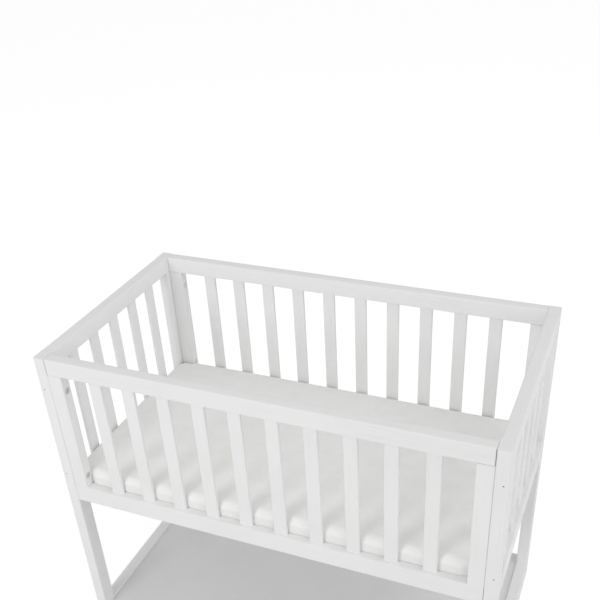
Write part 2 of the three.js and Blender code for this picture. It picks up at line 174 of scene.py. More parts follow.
@dataclass(frozen=True)
class SatinLacqueredBeech:
    """Planed and sanded beech under two sprayed coats of satin white lacquer.

    The coats hide the wood's own colour. What is left is a soft gloss, the long shallow dents of the deepest
    pores under the film, and a fine ripple from the spray gun.
    """

    body: str = "#f0f0f0"
    pore: str = "#e5e5e5"
    roughness: float = 0.5
    ior: float = 1.5
    gloss_level: float = 0.12
    pore_width_mm: float = 3.2
    pore_length_mm: float = 110.0
    pore_depth_mm: float = 0.12
    ripple_mm: float = 5.0
    board_tone_mm: float = 160.0
    # The pattern of each member is moved by up to this many metres, so that no two members match
    member_shift: float = 7.3
    # Two sprayed coats, thick enough to bridge the glued shoulders and to narrow the bolted joints
    film_mm: float = 0.16
    # Painted shade: a darker band where the front top rail's end grain meets the post, on every face but
    # those facing up, for the shadow in the hairline joint
    joint_shade: str = "#bcbcba"
    joint_shade_mm: float = 1.0

    def material(self, grain: Grain, joint_shade_at: float | None = None) -> bpy.types.Material:
        """Builds the finish for members whose grain runs along one axis.

        Args:
            grain: The axis of the grain.
            joint_shade_at: How far from the middle the member ends in a joint line darkened by painted
                shade, if it does.

        Returns:
            The material.
        """
        suffix = "" if joint_shade_at is None else "_cracked"
        material, tree = new_material(f"satin_lacquered_beech_{grain.name.lower()}{suffix}")
        place = add_node(tree, "ShaderNodeTexCoord")
        member = add_node(tree, "ShaderNodeObjectInfo")
        shift = add_node(
            tree,
            "ShaderNodeMath",
            {"operation": "MULTIPLY", 1: self.member_shift},
            {0: member.outputs["Random"]},
        )
        moved = add_node(
            tree,
            "ShaderNodeVectorMath",
            {"operation": "ADD"},
            {0: place.outputs["Object"], 1: shift.outputs[0]},
        )
        across = 1 / (self.pore_width_mm * MM)
        along = 1 / (self.pore_length_mm * MM)
        scale = [across, across, across]
        scale[grain.value] = along
        stretched = add_node(
            tree,
            "ShaderNodeVectorMath",
            {"operation": "MULTIPLY", 1: scale},
            {0: moved.outputs[0]},
        )
        pores = add_node(
            tree,
            "ShaderNodeTexNoise",
            {"Scale": 1.0, "Detail": 3.0, "Roughness": 0.6},
            {"Vector": stretched.outputs[0]},
        )
        tone = speckle(tree, self.board_tone_mm, 1.0, moved.outputs[0])
        ripple = speckle(tree, self.ripple_mm, 1.0, moved.outputs[0])
        deep = add_node(
            tree,
            "ShaderNodeMapRange",
            {"From Min": 0.56, "From Max": 0.78, "To Min": 0.0, "To Max": 0.55},
            {"Value": pores.outputs["Fac"]},
        )
        mottled = add_node(
            tree,
            "ShaderNodeMapRange",
            {"From Min": 0.35, "From Max": 0.65, "To Min": 0.0, "To Max": 0.22},
            {"Value": tone.outputs["Fac"]},
        )
        share = add_node(
            tree,
            "ShaderNodeMath",
            {"operation": "ADD", "use_clamp": True},
            {0: deep.outputs[0], 1: mottled.outputs[0]},
        )
        colour = blend(tree, share.outputs[0], self.body, self.pore)
        # Painted shade: near the member's ends the colour darkens, except on faces that face up, for the
        # shadow in the joint gap
        if joint_shade_at is not None:
            axes = add_node(tree, "ShaderNodeSeparateXYZ", links={0: place.outputs["Object"]})
            span = add_node(
                tree,
                "ShaderNodeMath",
                {"operation": "ABSOLUTE"},
                {0: axes.outputs[grain.value]},
            )
            near = add_node(
                tree,
                "ShaderNodeMath",
                {"operation": "GREATER_THAN", 1: joint_shade_at - self.joint_shade_mm * MM},
                {0: span.outputs[0]},
            )
            shape = add_node(tree, "ShaderNodeNewGeometry")
            facing = add_node(tree, "ShaderNodeSeparateXYZ", links={0: shape.outputs["True Normal"]})
            upright = add_node(
                tree,
                "ShaderNodeMath",
                {"operation": "LESS_THAN", 1: 0.5},
                {0: facing.outputs[2]},
            )
            joint_shaded = add_node(
                tree,
                "ShaderNodeMath",
                {"operation": "MULTIPLY"},
                {0: near.outputs[0], 1: upright.outputs[0]},
            )
            colour = add_node(
                tree,
                "ShaderNodeMix",
                {"data_type": "RGBA", 7: linear(self.joint_shade)},
                {0: joint_shaded.outputs[0], 6: colour.outputs[2]},
            )
        gloss = add_node(
            tree,
            "ShaderNodeMapRange",
            {"To Min": self.roughness - 0.04, "To Max": self.roughness + 0.08},
            {"Value": tone.outputs["Fac"]},
        )
        rippled = add_node(
            tree,
            "ShaderNodeBump",
            {"Strength": 0.25, "Distance": 0.06 * MM},
            {"Height": ripple.outputs["Fac"]},
        )
        dented = add_node(
            tree,
            "ShaderNodeBump",
            {"Strength": 0.6, "Distance": self.pore_depth_mm * MM, "invert": True},
            {"Height": deep.outputs[0], "Normal": rippled.outputs[0]},
        )
        shader = add_node(
            tree,
            "ShaderNodeBsdfPrincipled",
            {"IOR": self.ior, "Specular IOR Level": self.gloss_level},
            {"Base Color": colour.outputs[2], "Roughness": gloss.outputs[0], "Normal": dented.outputs[0]},
        )
        add_node(tree, "ShaderNodeOutputMaterial", links={"Surface": shader.outputs[0]})
        return material


@dataclass(frozen=True)
class PaintedFibreboard:
    """Medium density fibreboard, sanded and roller painted white: no grain, an even orange-peel texture."""

    body: str = "#e6e6e6"
    worn: str = "#dddddd"
    roughness: float = 0.5
    ior: float = 1.5
    gloss_level: float = 0.2
    peel_mm: float = 2.2
    peel_depth_mm: float = 0.05
    cloud_mm: float = 90.0

    def material(self) -> bpy.types.Material:
        """Builds the finish."""
        material, tree = new_material("painted_fibreboard")
        place = add_node(tree, "ShaderNodeTexCoord")
        peel = speckle(tree, self.peel_mm, 2.0, place.outputs["Object"])
        cloud = speckle(tree, self.cloud_mm, 3.0, place.outputs["Object"])
        share = add_node(
            tree,
            "ShaderNodeMapRange",
            {"From Min": 0.35, "From Max": 0.7, "To Min": 0.0, "To Max": 0.35},
            {"Value": cloud.outputs["Fac"]},
        )
        colour = blend(tree, share.outputs[0], self.body, self.worn)
        gloss = add_node(
            tree,
            "ShaderNodeMapRange",
            {"To Min": self.roughness - 0.05, "To Max": self.roughness + 0.08},
            {"Value": cloud.outputs["Fac"]},
        )
        bump = add_node(
            tree,
            "ShaderNodeBump",
            {"Strength": 0.4, "Distance": self.peel_depth_mm * MM},
            {"Height": peel.outputs["Fac"]},
        )
        shader = add_node(
            tree,
            "ShaderNodeBsdfPrincipled",
            {"IOR": self.ior, "Specular IOR Level": self.gloss_level},
            {"Base Color": colour.outputs[2], "Roughness": gloss.outputs[0], "Normal": bump.outputs[0]},
        )
        add_node(tree, "ShaderNodeOutputMaterial", links={"Surface": shader.outputs[0]})
        return material


@dataclass(frozen=True)
class WovenPolycotton:
    """Plain-woven polycotton, washed and undyed: matt, faintly warm, with a soft nap of loose fibre."""

    warp: str = "#f7f7f5"
    weft: str = "#f1f1ee"
    # Painted shade: the border below the seam is a little darker, for the shade that the slats and rails
    # cast on the mattress's side
    border_painted_shade: str = "#f8f8f8"
    roughness: float = 0.92
    sheen: float = 0.25
    sheen_roughness: float = 0.5
    # The threads are about 0.4 mm apart, which no pixel shows, so the weave is drawn four times as coarse
    thread_mm: float = 1.6
    thread_depth_mm: float = 0.12
    slub_mm: float = 26.0

    def material(self, seam_height: float) -> bpy.types.Material:
        """Builds the finish.

        Args:
            seam_height: The height at which the top panel meets the border, in metres.

        Returns:
            The material.
        """
        material, tree = new_material("woven_polycotton_cover")
        place = add_node(tree, "ShaderNodeTexCoord")
        waviness = speckle(tree, self.slub_mm, 2.0, place.outputs["Object"])
        loosened = add_node(
            tree,
            "ShaderNodeVectorMath",
            {"operation": "MULTIPLY_ADD", 1: [0.9 * self.thread_mm * MM] * 3},
            {0: waviness.outputs["Color"], 2: place.outputs["Object"]},
        )
        threads = []
        for direction in ("X", "Y", "Z"):
            # A wave texture turns by 20 radians over its scale, so this scale gives one thread a full turn
            wave = add_node(
                tree,
                "ShaderNodeTexWave",
                {"bands_direction": direction, "Scale": math.tau / 20 / (self.thread_mm * MM)},
                {"Vector": loosened.outputs[0]},
            )
            threads.append(wave.outputs["Fac"])
        crossing = add_node(
            tree,
            "ShaderNodeMath",
            {"operation": "MULTIPLY"},
            {0: threads[0], 1: threads[1]},
        )
        weave = add_node(
            tree,
            "ShaderNodeMath",
            {"operation": "ADD"},
            {0: crossing.outputs[0], 1: threads[2]},
        )
        slub = add_node(
            tree,
            "ShaderNodeMapRange",
            {"From Min": 0.4, "From Max": 0.7, "To Min": 0.1, "To Max": 0.6},
            {"Value": waviness.outputs["Fac"]},
        )
        colour = blend(tree, slub.outputs[0], self.warp, self.weft)
        height = add_node(tree, "ShaderNodeSeparateXYZ", links={0: place.outputs["Object"]})
        below = add_node(
            tree,
            "ShaderNodeMapRange",
            {"From Min": seam_height + MM, "From Max": seam_height - MM},
            {"Value": height.outputs[2]},
        )
        # Painted shade: the colour below the seam is multiplied down a little
        colour = add_node(
            tree,
            "ShaderNodeMix",
            {"data_type": "RGBA", "blend_type": "MULTIPLY", 7: linear(self.border_painted_shade)},
            {0: below.outputs[0], 6: colour.outputs[2]},
        )
        bump = add_node(
            tree,
            "ShaderNodeBump",
            {"Strength": 0.5, "Distance": self.thread_depth_mm * MM},
            {"Height": weave.outputs[0]},
        )
        shader = add_node(
            tree,
            "ShaderNodeBsdfPrincipled",
            {
                "Roughness": self.roughness,
                "Sheen Weight": self.sheen,
                "Sheen Roughness": self.sheen_roughness,
            },
            {"Base Color": colour.outputs[2], "Normal": bump.outputs[0]},
        )
        add_node(tree, "ShaderNodeOutputMaterial", links={"Surface": shader.outputs[0]})
        return material


@dataclass(frozen=True)
class NickelPlatedSteel:
    """Turned steel with a nickel plate: faint tool rings and handling marks blur what it mirrors."""

    plate: str = "#e0e0de"
    dulled: str = "#c4c4c2"
    roughness: float = 0.42
    mark_mm: float = 0.9
    mark_depth_mm: float = 0.02

    def material(self) -> bpy.types.Material:
        """Builds the finish."""
        material, tree = new_material("nickel_plated_steel")
        place = add_node(tree, "ShaderNodeTexCoord")
        marks = speckle(tree, self.mark_mm, 3.0, place.outputs["Object"])
        colour = blend(tree, marks.outputs["Fac"], self.plate, self.dulled)
        gloss = add_node(
            tree,
            "ShaderNodeMapRange",
            {"To Min": self.roughness - 0.06, "To Max": self.roughness + 0.14},
            {"Value": marks.outputs["Fac"]},
        )
        bump = add_node(
            tree,
            "ShaderNodeBump",
            {"Strength": 0.3, "Distance": self.mark_depth_mm * MM},
            {"Height": marks.outputs["Fac"]},
        )
        shader = add_node(
            tree,
            "ShaderNodeBsdfPrincipled",
            {"Metallic": 1.0},
            {"Base Color": colour.outputs[2], "Roughness": gloss.outputs[0], "Normal": bump.outputs[0]},
        )
        add_node(tree, "ShaderNodeOutputMaterial", links={"Surface": shader.outputs[0]})
        return material


@dataclass(frozen=True)
class PhosphatedSteel:
    """Steel with a grey phosphate coat, which is matt, crystalline and a little darker in its hollows."""

    coat: str = "#8f8f8d"
    hollow: str = "#70706e"
    roughness: float = 0.7
    ior: float = 1.6
    crystal_mm: float = 0.5
    crystal_depth_mm: float = 0.03

    def material(self) -> bpy.types.Material:
        """Builds the finish."""
        material, tree = new_material("phosphated_steel")
        place = add_node(tree, "ShaderNodeTexCoord")
        crystals = add_node(
            tree,
            "ShaderNodeTexVoronoi",
            {"Scale": 1 / (self.crystal_mm * MM)},
            {"Vector": place.outputs["Object"]},
        )
        colour = blend(tree, crystals.outputs["Distance"], self.coat, self.hollow)
        bump = add_node(
            tree,
            "ShaderNodeBump",
            {"Strength": 0.4, "Distance": self.crystal_depth_mm * MM},
            {"Height": crystals.outputs["Distance"]},
        )
        shader = add_node(
            tree,
            "ShaderNodeBsdfPrincipled",
            {"Roughness": self.roughness, "IOR": self.ior},
            {"Base Color": colour.outputs[2], "Normal": bump.outputs[0]},
        )
        add_node(tree, "ShaderNodeOutputMaterial", links={"Surface": shader.outputs[0]})
        return material


@dataclass
class Arris:
    """The eased edge that sandpaper leaves where two faces of a member meet."""

    width: float
    segments: int = 2
    least_angle: float = math.radians(60)
    smooth_angle: float = math.radians(50)

    def smoothing(self) -> bpy.types.NodeTree:
        """Builds the geometry group that shades faces smoothly except over steep edges."""
        name = "smooth_over_shallow_edges"
        if name in bpy.data.node_groups:
            return bpy.data.node_groups[name]
        tree = bpy.data.node_groups.new(name, "GeometryNodeTree")
        tree.interface.new_socket("Geometry", in_out="INPUT", socket_type="NodeSocketGeometry")
        tree.interface.new_socket("Geometry", in_out="OUTPUT", socket_type="NodeSocketGeometry")
        start = add_node(tree, "NodeGroupInput")
        faces = add_node(
            tree,
            "GeometryNodeSetShadeSmooth",
            {"domain": "FACE", "Shade Smooth": True},
            {"Geometry": start.outputs[0]},
        )
        angle = add_node(tree, "GeometryNodeInputMeshEdgeAngle")
        shallow = add_node(
            tree,
            "FunctionNodeCompare",
            {"operation": "LESS_THAN", 1: self.smooth_angle},
            {0: angle.outputs[0]},
        )
        edges = add_node(
            tree,
            "GeometryNodeSetShadeSmooth",
            {"domain": "EDGE"},
            {"Geometry": faces.outputs[0], "Shade Smooth": shallow.outputs[0]},
        )
        add_node(tree, "NodeGroupOutput", links={0: edges.outputs[0]})
        return tree

    def ease(self, member: bpy.types.Object, film: float = 0.0) -> None:
        """Rounds a member's sharp edges a little and smooths its shading.

        Args:
            member: The object to ease. Its own mesh stays as it is.
            film: How far a coat of lacquer moves the corners out, in metres.
        """
        weld = member.modifiers.new("joined_corners", "WELD")
        weld.merge_threshold = 0.01 * MM
        if film:
            coat = member.modifiers.new("lacquer_film", "DISPLACE")
            coat.mid_level = 0.0
            coat.strength = film
        bevel = member.modifiers.new("eased_edges", "BEVEL")
        bevel.width = self.width
        bevel.segments = self.segments
        bevel.limit_method = "ANGLE"
        bevel.angle_limit = self.least_angle
        smooth = member.modifiers.new("smooth_faces", "NODES")
        smooth.node_group = self.smoothing()
        weighted = member.modifiers.new("even_faces", "WEIGHTED_NORMAL")
        weighted.keep_sharp = True
        weighted.weight = 100


@dataclass
class Timber:
    """The posts, rails, stiles and slats of the two long panels and the two end frames."""

    finish: SatinLacqueredBeech
    rail_arris: Arris
    slat_arris: Arris
    long_slats: int = 10
    end_slats: int = 5

    def members(self) -> dict[str, Grain]:
        """Lists every member by name with the axis that its grain runs along."""
        found: dict[str, Grain] = {}
        for side in ("front", "back"):
            for rail in ("top", "bottom"):
                found[f"{side}_{rail}_rail"] = Grain.X
            for end in ("left", "right"):
                found[f"{side}_{end}_stile"] = Grain.Z
            for number in range(1, self.long_slats + 1):
                found[f"{side}_slat_{number}"] = Grain.Z
        for side in ("left", "right"):
            for rail in ("top", "middle", "floor"):
                found[f"{side}_{rail}_rail"] = Grain.Y
            for corner in ("front", "back"):
                found[f"{side}_{corner}_post"] = Grain.Z
            for number in range(1, self.end_slats + 1):
                found[f"{side}_slat_{number}"] = Grain.Z
        return found

    def dress(self) -> None:
        """Gives every member its lacquer and eased edges."""
        finishes = {grain: self.finish.material(grain) for grain in Grain}
        # The front top rail's ends are darkened with painted shade where they meet the posts
        joint_shaded = self.finish.material(Grain.X, joint_shade_at=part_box("front_top_rail")[1].x)
        film = self.finish.film_mm * MM
        for name, grain in self.members().items():
            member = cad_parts[name]
            member.material_slots[0].material = joint_shaded if name == "front_top_rail" else finishes[grain]
            (self.slat_arris if "slat" in name or "stile" in name else self.rail_arris).ease(member, film)
            LOG.info("lacquered %s", name)


@dataclass
class Boards:
    """The board under the mattress and the storage shelf."""

    finish: PaintedFibreboard
    arris: Arris
    names: tuple[str, ...] = ("mattress_base_board", "storage_shelf")

    def dress(self) -> None:
        """Paints the boards and eases their edges."""
        paint = self.finish.material()
        for name in self.names:
            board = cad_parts[name]
            board.material_slots[0].material = paint
            self.arris.ease(board)
            LOG.info("painted %s", name)


@dataclass
class PanelBolts:
    """The panel bolts and the barrel nuts that they screw into."""

    finish: NickelPlatedSteel
    arris: Arris

    def dress(self) -> None:
        """Plates the bolts and eases their edges."""
        plate = self.finish.material()
        for side in ("front", "back"):
            for end in ("left", "right"):
                for level in ("upper", "lower"):
                    name = f"{side}_{end}_{level}_bolt"
                    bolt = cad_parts[name]
                    bolt.material_slots[0].material = plate
                    self.arris.ease(bolt)
                    LOG.info("plated %s", name)


@dataclass
class NutPins:
    """The pins in the ends of the barrel nuts, which show as dots in the posts' faces."""

    finish: PhosphatedSteel
    inset: float = 9 * MM
    radius: float = 1.62 * MM
    length: float = 2.2 * MM
    sunk: float = 0.12 * MM
    dome: float = 0.25 * MM
    rings: int = 3
    sides: int = 20

    def turn(self, name: str, middle: Vector, way: int) -> bpy.types.Object:
        """Turns one pin with a domed end.

        Args:
            name: The pin's name.
            middle: Where its axis meets the post's face.
            way: -1 where the face is in front, 1 where it is at the back.

        Returns:
            The pin.
        """
        rows = [(self.radius, -self.length), (self.radius, -self.sunk - self.dome)]
        for ring in range(1, self.rings):
            turn = math.radians(90 * ring / self.rings)
            rows.append((self.radius * math.cos(turn), self.dome * (math.sin(turn) - 1) - self.sunk))
        shape = bmesh.new()
        loops = []
        for radius, out in rows:
            angles = [math.tau * side / self.sides for side in range(self.sides)]
            places = [Vector((radius * math.cos(a), way * out, radius * math.sin(a))) for a in angles]
            loops.append([shape.verts.new(middle + place) for place in places])
        for low, high in zip(loops, loops[1:]):
            for side in range(self.sides):
                after = (side + 1) % self.sides
                shape.faces.new((low[side], low[after], high[after], high[side]))
        shape.faces.new(loops[0][::-1])
        shape.faces.new(loops[-1])
        bmesh.ops.recalc_face_normals(shape, faces=shape.faces)
        mesh = bpy.data.meshes.new(name)
        shape.to_mesh(mesh)
        shape.free()
        made = bpy.data.objects.new(name, mesh)
        bpy.context.scene.collection.objects.link(made)
        return made

    def build(self) -> None:
        """Puts a pin in front of every barrel nut."""
        coat = self.finish.material()
        for way, side in ((-1, "front"), (1, "back")):
            for end in ("left", "right"):
                low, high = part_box(f"{end}_{side}_post")
                across = low.x + self.inset if end == "left" else high.x - self.inset
                face = low.y if side == "front" else high.y
                for level in ("upper", "lower"):
                    bolt_low, bolt_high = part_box(f"{side}_{end}_{level}_bolt")
                    name = f"{side}_{end}_{level}_pin"
                    pin = self.turn(name, Vector((across, face, (bolt_low.z + bolt_high.z) / 2)), way)
                    pin.data.materials.append(coat)
                    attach(pin, "crib")
                    LOG.info("turned %s", name)


@dataclass(frozen=True)
class Loop:
    """One level loop of the mattress cover, given by half its length and depth, its corners and its height.

    A lapped loop also reaches out over the rails, except beside the stiles and the posts.
    """

    half_x: float
    half_y: float
    radius: float
    height: float
    lapped: bool = False

    def place(self, across: float, deep: float) -> Vector:
        """Places a point of a square sheet on the loop or inside it.

        Args:
            across: The point's share of half the length, from -1 to 1.
            deep: Its share of half the depth, from -1 to 1.

        Returns:
            The point, with the square's corners drawn in to the loop's round ones.
        """
        x = across * self.half_x
        y = deep * self.half_y
        over_x = abs(x) - (self.half_x - self.radius)
        over_y = abs(y) - (self.half_y - self.radius)
        if over_x > 0 and over_y > 0:
            shrink = max(over_x, over_y) / math.hypot(over_x, over_y)
            x = math.copysign(self.half_x - self.radius + over_x * shrink, x)
            y = math.copysign(self.half_y - self.radius + over_y * shrink, y)
        return Vector((x, y, self.height))


@dataclass(frozen=True)
class Upright:
    """A stile, slat or post by the mattress: its span along the side and how far out its face stands."""

    low: float
    high: float
    face: float


@dataclass(frozen=True)
class Lapping:
    """How the cover reaches out over the rails: its growth, and where stiles and posts stop it."""

    growth_x: float
    growth_y: float
    stile: float
    post: float
    step: float

    def move(self, point: Vector) -> Vector:
        """Moves a point of a lapped loop out over the rails, unless a stile or a post stands there.

        Args:
            point: The point on the loop as drawn round the core.

        Returns:
            The point as lapped.
        """
        along = min(1.0, max(0.0, (self.stile - abs(point.x)) / self.step))
        beside = min(1.0, max(0.0, (self.post - abs(point.y)) / self.step))
        x = point.x * (1 + beside * self.growth_x)
        y = point.y * (1 + along * self.growth_y)
        return Vector((x, y, point.z))


@dataclass
class FoamMattress:
    """A firm foam mattress in a woven cover, which laps over the rails and swells between the slats."""

    finish: WovenPolycotton
    step: float = 7 * MM
    corner_radius: float = 12 * MM
    least_radius: float = 4 * MM
    lower_edge: float = 7 * MM
    upper_edge: float = 14 * MM
    lap_edge: float = 0.8 * MM
    # The border starts this far under the rails' tops, and its last loop below them leaves this gap
    below_seat: float = 6 * MM
    seat_gap: float = 0.1 * MM
    # What sinks by less than this over a rail is lifted back on it
    seat_snap: float = 2 * MM
    clearance: float = 0.2 * MM
    start_back: float = 1.5 * MM
    press: float = 0.9 * MM
    top_height: float = 482.0 * MM
    free_rim: float = 18 * MM
    pressure: float = 8.0
    tension: float = 5.0
    bending: float = 0.5
    cloth_mass: float = 0.3
    cloth_quality: int = 6
    collision_quality: int = 3
    press_gap: float = 0.4 * MM
    frames: int = 20
    margin: float = 2.5 * MM
    crown: float = 2.5 * MM
    crown_cap: float = 0.5 * MM
    side_cap: float = 1.6 * MM
    dent_depth: float = 1.6 * MM
    dent_spread: float = 170 * MM
    ripple_depth: float = 0.7 * MM
    ripple_spread: float = 45 * MM
    seed_place: tuple[float, float, float] = (3.1, 7.7, 1.3)

    @staticmethod
    def panel_names(side: str) -> list[str]:
        """Names the stiles and slats of a long panel."""
        return [f"{side}_left_stile", f"{side}_right_stile", *(f"{side}_slat_{i}" for i in range(1, 11))]

    @staticmethod
    def end_names(side: str) -> list[str]:
        """Names the posts and slats of an end frame."""
        return [f"{side}_front_post", f"{side}_back_post", *(f"{side}_slat_{i}" for i in range(1, 6))]

    def panel_uprights(self) -> list[Upright]:
        """Lists what stands along a long side; front and back match."""
        boxes = [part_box(name) for name in self.panel_names("front")]
        return [Upright(low.x, high.x, -high.y) for low, high in boxes]

    def end_uprights(self) -> list[Upright]:
        """Lists what stands along an end; left and right match."""
        boxes = [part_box(name) for name in self.end_names("left")]
        return [Upright(low.y, high.y, -high.x) for low, high in boxes]

    def core(self) -> Vector:
        """Gives half the length and depth of the core, which fits between the posts and the stiles."""
        post = min(upright.face for upright in self.end_uprights())
        stile = min(upright.face for upright in self.panel_uprights())
        return Vector((post - self.clearance, stile - self.clearance))

    def reach(self) -> Vector:
        """Gives half the length and depth at the slats, over the rails."""
        end_slat = max(upright.face for upright in self.end_uprights())
        slat = max(upright.face for upright in self.panel_uprights())
        return Vector((end_slat - self.clearance, slat - self.clearance))

    def seat(self) -> float:
        """Gives the height at which the cover rests on the rails."""
        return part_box("front_bottom_rail")[1].z + self.clearance

    def loops(self) -> list[Loop]:
        """Lists the loops of the cover's side, from the bottom face to the top face."""
        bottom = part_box("mattress_base_board")[1].z + self.clearance
        half = self.core()
        seat = self.seat()
        radius = self.corner_radius
        found = []
        for degrees in (0, 30, 60, 90):
            turn = math.radians(degrees)
            inset = self.lower_edge * (1 - math.sin(turn))
            rise = self.lower_edge * (1 - math.cos(turn))
            corner = max(radius - inset, self.least_radius)
            found.append(Loop(half.x - inset, half.y - inset, corner, bottom + rise))
        found.append(Loop(half.x, half.y, radius, seat - self.below_seat))
        found.append(Loop(half.x, half.y, radius, seat - self.lap_edge))
        found.append(Loop(half.x, half.y, radius, seat - self.seat_gap))
        found.append(Loop(half.x - self.lap_edge, half.y - self.lap_edge, radius, seat, True))
        found.append(Loop(half.x, half.y, radius, seat + self.lap_edge, True))
        wall_top = self.top_height - self.upper_edge
        rows = round((wall_top - seat) / self.step) + 1
        for row in range(1, rows):
            found.append(Loop(half.x, half.y, radius, seat + (wall_top - seat) * row / rows, True))
        for degrees in (0, 18, 36, 54, 72, 90):
            turn = math.radians(degrees)
            inset = self.upper_edge * (1 - math.cos(turn))
            rise = self.upper_edge * math.sin(turn)
            corner = max(radius - inset, self.least_radius)
            found.append(Loop(half.x - inset, half.y - inset, corner, wall_top + rise, True))
        return found

    def lapping(self) -> Lapping:
        """Works out how the lapped loops reach out over the rails."""
        half = self.core()
        grown = self.reach() - Vector((self.start_back, self.start_back))
        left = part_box("front_left_stile")[1].x
        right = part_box("front_right_stile")[0].x
        stile = min(abs(left), abs(right)) - self.margin
        post = abs(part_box("left_front_post")[1].y) - self.margin
        return Lapping(grown.x / half.x - 1, grown.y / half.y - 1, stile, post, self.step)

    def cover(self) -> bpy.types.Object:
        """Sews the closed cover: a grid below, the loops of the side and a grid on top."""
        loops = self.loops()
        lapping = self.lapping()
        count_x = round(2 * loops[-1].half_x / self.step)
        count_y = round(2 * loops[-1].half_y / self.step)
        shares_x = [2 * i / count_x - 1 for i in range(count_x + 1)]
        shares_y = [2 * j / count_y - 1 for j in range(count_y + 1)]
        rim = [(i, 0) for i in range(count_x)] + [(count_x, j) for j in range(count_y)]
        rim += [(i, count_y) for i in range(count_x, 0, -1)] + [(0, j) for j in range(count_y, 0, -1)]
        shape = bmesh.new()

        def stitch(loop: Loop, across: float, deep: float) -> bmesh.types.BMVert:
            """Adds one point of a loop."""
            point = loop.place(across, deep)
            return shape.verts.new(lapping.move(point) if loop.lapped else point)

        grids = []
        for loop in (loops[0], loops[-1]):
            grids.append([[stitch(loop, u, v) for v in shares_y] for u in shares_x])
        rings = [[grids[0][i][j] for i, j in rim]]
        for loop in loops[1:-1]:
            rings.append([stitch(loop, shares_x[i], shares_y[j]) for i, j in rim])
        rings.append([grids[1][i][j] for i, j in rim])
        for below, above in zip(rings, rings[1:]):
            for k in range(len(rim)):
                n = (k + 1) % len(rim)
                shape.faces.new((below[k], below[n], above[n], above[k]))
        for grid, up in zip(grids, (False, True)):
            for i in range(count_x):
                for j in range(count_y):
                    corners = (grid[i][j], grid[i + 1][j], grid[i + 1][j + 1], grid[i][j + 1])
                    shape.faces.new(corners if up else corners[::-1])
        mesh = bpy.data.meshes.new("mattress_cover")
        shape.to_mesh(mesh)
        shape.free()
        made = bpy.data.objects.new("mattress_cover", mesh)
        bpy.context.scene.collection.objects.link(made)
        return made

    def walls(self) -> bpy.types.Object:
        """Makes plain boxes where the slats beside the mattress stand, for the cover to press against."""
        shape = bmesh.new()
        names = []
        for side in ("front", "back"):
            names += [name for name in self.panel_names(side) if "slat" in name]
        for side in ("left", "right"):
            names += [name for name in self.end_names(side) if "slat" in name]
        for name in names:
            low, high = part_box(name)
            made = bmesh.ops.create_cube(shape, size=1.0)["verts"]
            bmesh.ops.scale(shape, vec=high - low, verts=made)
            bmesh.ops.translate(shape, vec=(low + high) / 2, verts=made)
        mesh = bpy.data.meshes.new("press_walls")
        shape.to_mesh(mesh)
        shape.free()
        walls = bpy.data.objects.new("press_walls", mesh)
        bpy.context.scene.collection.objects.link(walls)
        walls.modifiers.new("press", "COLLISION")
        walls.collision.thickness_outer = self.press_gap
        return walls

    def inflate(self, cover: bpy.types.Object) -> None:
        """Swells the cover against the timber by cloth simulation, and limits how far it may move.

        Args:
            cover: The cover as sewn.
        """
        seat = self.seat()
        start = [v.co.copy() for v in cover.data.vertices]
        rim = self.reach() - Vector((1, 1)) * (self.start_back + self.upper_edge + self.free_rim)
        held = cover.vertex_groups.new(name="held")
        for vertex in cover.data.vertices:
            x, y, z = vertex.co
            if z < seat + 2 * self.lap_edge or (abs(x) < rim.x and abs(y) < rim.y):
                held.add([vertex.index], 1.0, "REPLACE")
        walls = self.walls()
        cloth = cover.modifiers.new("swelling", "CLOTH")
        cloth.settings.quality = self.cloth_quality
        cloth.settings.mass = self.cloth_mass
        cloth.settings.tension_stiffness = self.tension
        cloth.settings.bending_stiffness = self.bending
        cloth.settings.vertex_group_mass = "held"
        cloth.settings.use_pressure = True
        cloth.settings.uniform_pressure_force = self.pressure
        cloth.settings.effector_weights.gravity = 0
        cloth.collision_settings.distance_min = self.press_gap
        cloth.collision_settings.collision_quality = self.collision_quality
        scene = bpy.context.scene
        for number in range(1, self.frames + 1):
            scene.frame_set(number)
        graph = bpy.context.evaluated_depsgraph_get()
        swollen = [v.co.copy() for v in cover.evaluated_get(graph).data.vertices]
        cover.modifiers.remove(cloth)
        scene.frame_set(1)
        bpy.data.objects.remove(walls)
        side_cap = self.start_back + self.side_cap
        cap = Vector((side_cap, side_cap, self.crown_cap))
        for vertex, old, new in zip(cover.data.vertices, start, swollen):
            for axis in range(3):
                vertex.co[axis] = old[axis] + cap[axis] * math.tanh((new[axis] - old[axis]) / cap[axis])

    def press_out(self, cover: bpy.types.Object) -> None:
        """Presses the sides above the rails out until they touch the timber, the more the nearer the edge.

        Args:
            cover: The swollen cover.
        """
        seat = self.seat()
        grown = self.reach() - Vector((self.start_back, self.start_back))
        for vertex in cover.data.vertices:
            co = vertex.co
            if co.z > seat - self.clearance / 2:
                for axis in (0, 1):
                    near = (abs(co[axis]) - grown[axis]) / self.upper_edge + 1
                    co[axis] += math.copysign(self.press * min(1.0, max(0.0, near)), co[axis])

    def dent(self, cover: bpy.types.Object) -> None:
        """Presses the shallow hollows into the top that handling leaves in a foam mattress.

        Args:
            cover: The swollen cover.
        """
        seat = self.seat()
        half = self.core()
        for vertex in cover.data.vertices:
            co = vertex.co
            share = max(0.0, (co.z - seat) / (self.top_height - seat))
            roll = noise.noise(Vector((co.x, co.y, 0)) / self.dent_spread + Vector(self.seed_place))
            fine = noise.noise(co / self.ripple_spread + Vector(self.seed_place))
            middle = (1 - min(1.0, abs(co.x) / half.x) ** 2) * (1 - min(1.0, abs(co.y) / half.y) ** 2)
            rise = self.crown * middle + self.dent_depth * roll + self.ripple_depth * fine
            co.z += share * share * rise

    def allowed(self, place: float, uprights: list[Upright], slat_reach: float) -> float:
        """Gives how far out the cover may come at one place along a side.

        Args:
            place: The place along the side.
            uprights: What stands along that side.
            slat_reach: How far out the slats let it come.

        Returns:
            The distance from the middle.
        """
        for upright in uprights:
            if upright.low - self.margin < place < upright.high + self.margin:
                return upright.face - self.clearance
        return slat_reach + self.side_cap

